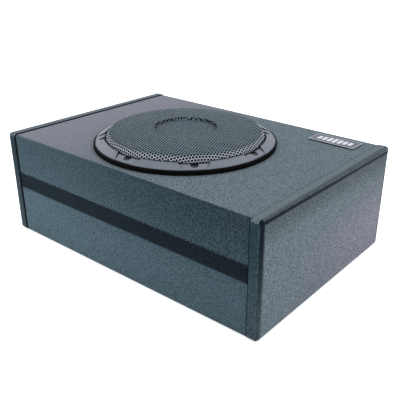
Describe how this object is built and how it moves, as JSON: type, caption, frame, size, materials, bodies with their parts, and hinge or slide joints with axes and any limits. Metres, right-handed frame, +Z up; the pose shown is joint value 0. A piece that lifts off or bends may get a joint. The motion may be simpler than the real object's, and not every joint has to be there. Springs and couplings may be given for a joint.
{
  "type": "powered car subwoofer",
  "caption": "Powered car subwoofer: flat cloth-covered slot-port box, upward driver under a domed perforated grille, amplifier panel with knobs and sockets in the rear wall.",
  "frame": {"origin": "centre of the base at the bottom of the two end panels, on the surface it stands on", "axes": "+X to the right along the front, +Y from the front to the rear amplifier wall, +Z up through the driver"},
  "size_m": [0.48, 0.33, 0.1867],
  "materials": {
    "board": "MDF panel",
    "vinyl": "grained charcoal vinyl",
    "cloth": "woven charcoal acoustic cloth",
    "brace_black": "matt black",
    "insert_brass": "machined",
    "gasket_foam": "closed-cell foam",
    "basket_black": "black powder coat",
    "surround_rubber": "smooth matt rubber",
    "cone_paper": "pressed black pulp",
    "former_kapton": "amber film",
    "coil_copper": "enamelled wire",
    "spider_cloth": "varnished cotton",
    "motor_steel": "zinc-plated",
    "ferrite": "matt dark grey",
    "terminal_tin": "tinned",
    "trim_plastic": "satin charcoal",
    "grille_steel": "fine textured coat",
    "screw_black": "black zinc",
    "plate_metal": "brushed",
    "bar_bright": "bright",
    "panel_black": "fine textured black",
    "sink_aluminium": "black anodised",
    "circuit_green": "solder mask",
    "device_black": "moulded epoxy",
    "capacitor_blue": "sleeve",
    "ferrite_core": "coated core",
    "socket_nickel": "nickel",
    "insulator_dark": "moulded",
    "socket_white": "nylon",
    "block_black": "moulded",
    "fuse_amber": "translucent",
    "led_red": "lens",
    "knob_black": "satin moulded",
    "wire_red": "insulation"
  },
  "bodies": {
    "cabinet": {"left_end_panel": "board", "right_end_panel": "board", "left_end_vinyl": "vinyl", "right_end_vinyl": "vinyl", "top_baffle": "board", "bottom_panel": "board", "upper_front_board": "board", "lower_front_board": "board", "rear_panel": "board", "port_upper_shelf": "board", "port_lower_shelf": "board", "port_braces": "brace_black", "cloth_wrap": "cloth", "threaded_inserts": "insert_brass", "driver_gasket": "gasket_foam", "driver_basket": "basket_black", "surround": "surround_rubber", "spider": "spider_cloth", "top_plate": "motor_steel", "magnet": "ferrite", "t_yoke": "motor_steel", "driver_terminals": "terminal_tin", "tinsel_leads": "coil_copper", "trim_ring": "trim_plastic", "grille": "grille_steel", "mounting_screws": "screw_black", "nameplate": "plate_metal", "nameplate_bars": "bar_bright", "amp_panel": "panel_black", "amp_gasket": "gasket_foam", "amp_panel_screws": "screw_black", "heat_sink": "sink_aluminium", "circuit_board": "circuit_green", "power_transistors": "device_black", "capacitors": "capacitor_blue", "toroid_core": "ferrite_core", "toroid_winding": "coil_copper", "rca_shells": "socket_nickel", "rca_insulators": "insulator_dark", "high_level_socket": "socket_white", "terminal_block": "block_black", "terminal_screws": "socket_nickel", "fuse_holder": "block_black", "blade_fuses": "fuse_amber", "power_led": "led_red", "potentiometers": "motor_steel", "switch_bodies": "socket_nickel", "speaker_leads": "wire_red"},
    "cone_assembly": {"cone": "cone_paper", "dust_cap": "cone_paper", "voice_coil_former": "former_kapton", "voice_coil_winding": "coil_copper"},
    "gain_control": {"gain_knob": "knob_black", "gain_shaft": "socket_nickel"},
    "crossover_control": {"crossover_knob": "knob_black", "crossover_shaft": "socket_nickel"},
    "bass_boost_control": {"bass_boost_knob": "knob_black", "bass_boost_shaft": "socket_nickel"},
    "phase_switch": {"phase_slider": "knob_black"},
    "auto_on_switch": {"auto_on_slider": "knob_black"}
  },
  "joints": [
    {"name": "cone_travel", "type": "slide", "parent": "cabinet", "child": "cone_assembly", "axis": [0, 0, 1], "range_m": [-0.009, 0.009], "stiffness_N_per_m": 3000, "deforming": ["surround", "spider", "tinsel_leads"]},
    {"name": "gain_turn", "type": "hinge", "parent": "cabinet", "child": "gain_control", "pos_m": [0.122, 0.155, 0.104], "axis": [0, 1, 0], "range_deg": [-140, 140]},
    {"name": "crossover_turn", "type": "hinge", "parent": "cabinet", "child": "crossover_control", "pos_m": [0.092, 0.155, 0.104], "axis": [0, 1, 0], "range_deg": [-140, 140]},
    {"name": "bass_boost_turn", "type": "hinge", "parent": "cabinet", "child": "bass_boost_control", "pos_m": [0.062, 0.155, 0.104], "axis": [0, 1, 0], "range_deg": [-140, 140]},
    {"name": "phase_slide", "type": "slide", "parent": "cabinet", "child": "phase_switch", "axis": [1, 0, 0], "range_m": [0, 0.004]},
    {"name": "auto_on_slide", "type": "slide", "parent": "cabinet", "child": "auto_on_switch", "axis": [1, 0, 0], "range_m": [0, 0.004]}
  ]
}
